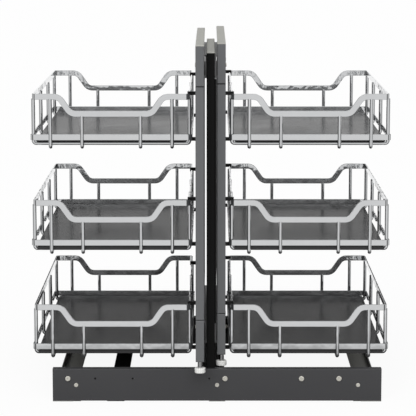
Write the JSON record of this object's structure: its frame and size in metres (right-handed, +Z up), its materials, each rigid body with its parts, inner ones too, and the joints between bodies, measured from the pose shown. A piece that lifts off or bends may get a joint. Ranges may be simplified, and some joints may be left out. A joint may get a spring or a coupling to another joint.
{
  "type": "blind corner organizer",
  "caption": "Pull-out blind corner organizer: chrome wire baskets with tray boards on frames that draw forward from a tower, which slides sideways on a floor base.",
  "frame": {"origin": "on the cabinet floor, at the centre of the floor screw pattern", "axes": "+X along the cabinet front to the right, +Y into the cabinet, +Z up"},
  "size_m": [0.6974, 0.614, 0.702],
  "materials": {
    "rail_paint": "satin dark grey powder coat",
    "bar_paint": "satin dark grey powder coat",
    "black_paint": "satin black powder coat",
    "frame_paint": "satin mid grey powder coat",
    "cover_grey": "light grey moulded strip",
    "hook_black": "black moulded plastic",
    "chrome_wire": "bright chrome plate",
    "tray_board": "satin dark grey board",
    "nylon_white": "white nylon",
    "stem_steel": "turned steel",
    "slide_steel": "dark zinc plated steel",
    "bright_steel": "bright zinc plated steel"
  },
  "bodies": {
    "base": {"front_rail": "rail_paint", "rear_rail": "rail_paint", "left_floor_bar": "bar_paint", "right_floor_bar": "bar_paint", "centre_floor_bar": "bar_paint", "brace_bar": "black_paint", "base_rivets": "bright_steel", "base_screws": "bright_steel", "cross_slides_fixed": "slide_steel"},
    "cross_slide_middle": {"cross_slides_middle": "slide_steel"},
    "tower": {"cross_slides_moving": "slide_steel", "carriage_beam": "black_paint", "carriage_brackets": "black_paint", "bracket_screws": "bright_steel", "tower_front_post": "black_paint", "tower_rear_post": "black_paint", "tower_top_beam": "black_paint", "tower_bottom_beam": "black_paint", "tower_top_cap": "cover_grey", "tower_trim": "black_paint", "left_slides_fixed": "slide_steel", "right_slides_fixed": "slide_steel"},
    "left_slide_middle": {"left_slides_middle": "slide_steel"},
    "left_roller": {"left_roller": "nylon_white"},
    "left_frame": {"left_basket_hooks": "hook_black", "left_bottom_beam": "frame_paint", "left_end_caps": "frame_paint", "left_front_post": "frame_paint", "left_lower_basket": "chrome_wire", "left_lower_tray": "tray_board", "left_middle_basket": "chrome_wire", "left_middle_tray": "tray_board", "left_rear_post": "frame_paint", "left_roller_stem": "stem_steel", "left_slide_screws": "bright_steel", "left_slides_moving": "slide_steel", "left_top_beam": "frame_paint", "left_top_cover": "cover_grey", "left_upper_basket": "chrome_wire", "left_upper_tray": "tray_board"},
    "right_slide_middle": {"right_slides_middle": "slide_steel"},
    "right_roller": {"right_roller": "nylon_white"},
    "right_frame": {"right_basket_hooks": "hook_black", "right_bottom_beam": "frame_paint", "right_end_caps": "frame_paint", "right_front_post": "frame_paint", "right_lower_basket": "chrome_wire", "right_lower_tray": "tray_board", "right_middle_basket": "chrome_wire", "right_middle_tray": "tray_board", "right_rear_post": "frame_paint", "right_roller_stem": "stem_steel", "right_slide_screws": "bright_steel", "right_slides_moving": "slide_steel", "right_top_beam": "frame_paint", "right_top_cover": "cover_grey", "right_upper_basket": "chrome_wire", "right_upper_tray": "tray_board"}
  },
  "joints": [
    {"name": "tower_slide", "type": "slide", "parent": "base", "child": "tower", "axis": [-1, 0, 0], "range_m": [0, 0.232]},
    {"name": "cross_middle_slide", "type": "slide", "parent": "base", "child": "cross_slide_middle", "axis": [-1, 0, 0], "range_m": [0, 0.116]},
    {"name": "left_frame_slide", "type": "slide", "parent": "tower", "child": "left_frame", "axis": [0, -1, 0], "range_m": [0, 0.34]},
    {"name": "left_middle_slide", "type": "slide", "parent": "tower", "child": "left_slide_middle", "axis": [0, -1, 0], "range_m": [0, 0.17]},
    {"name": "left_roller_spin", "type": "hinge", "parent": "left_frame", "child": "left_roller", "pos_m": [-0.03325, -0.29, 0.0715], "axis": [0, 0, 1], "continuous": true},
    {"name": "right_frame_slide", "type": "slide", "parent": "tower", "child": "right_frame", "axis": [0, -1, 0], "range_m": [0, 0.34]},
    {"name": "right_middle_slide", "type": "slide", "parent": "tower", "child": "right_slide_middle", "axis": [0, -1, 0], "range_m": [0, 0.17]},
    {"name": "right_roller_spin", "type": "hinge", "parent": "right_frame", "child": "right_roller", "pos_m": [0.00825, -0.226, 0.0715], "axis": [0, 0, 1], "continuous": true}
  ],
  "couplings": [
    {"joint": "cross_middle_slide", "follows": "tower_slide", "ratio": 0.5},
    {"joint": "left_middle_slide", "follows": "left_frame_slide", "ratio": 0.5},
    {"joint": "right_middle_slide", "follows": "right_frame_slide", "ratio": 0.5}
  ]
}
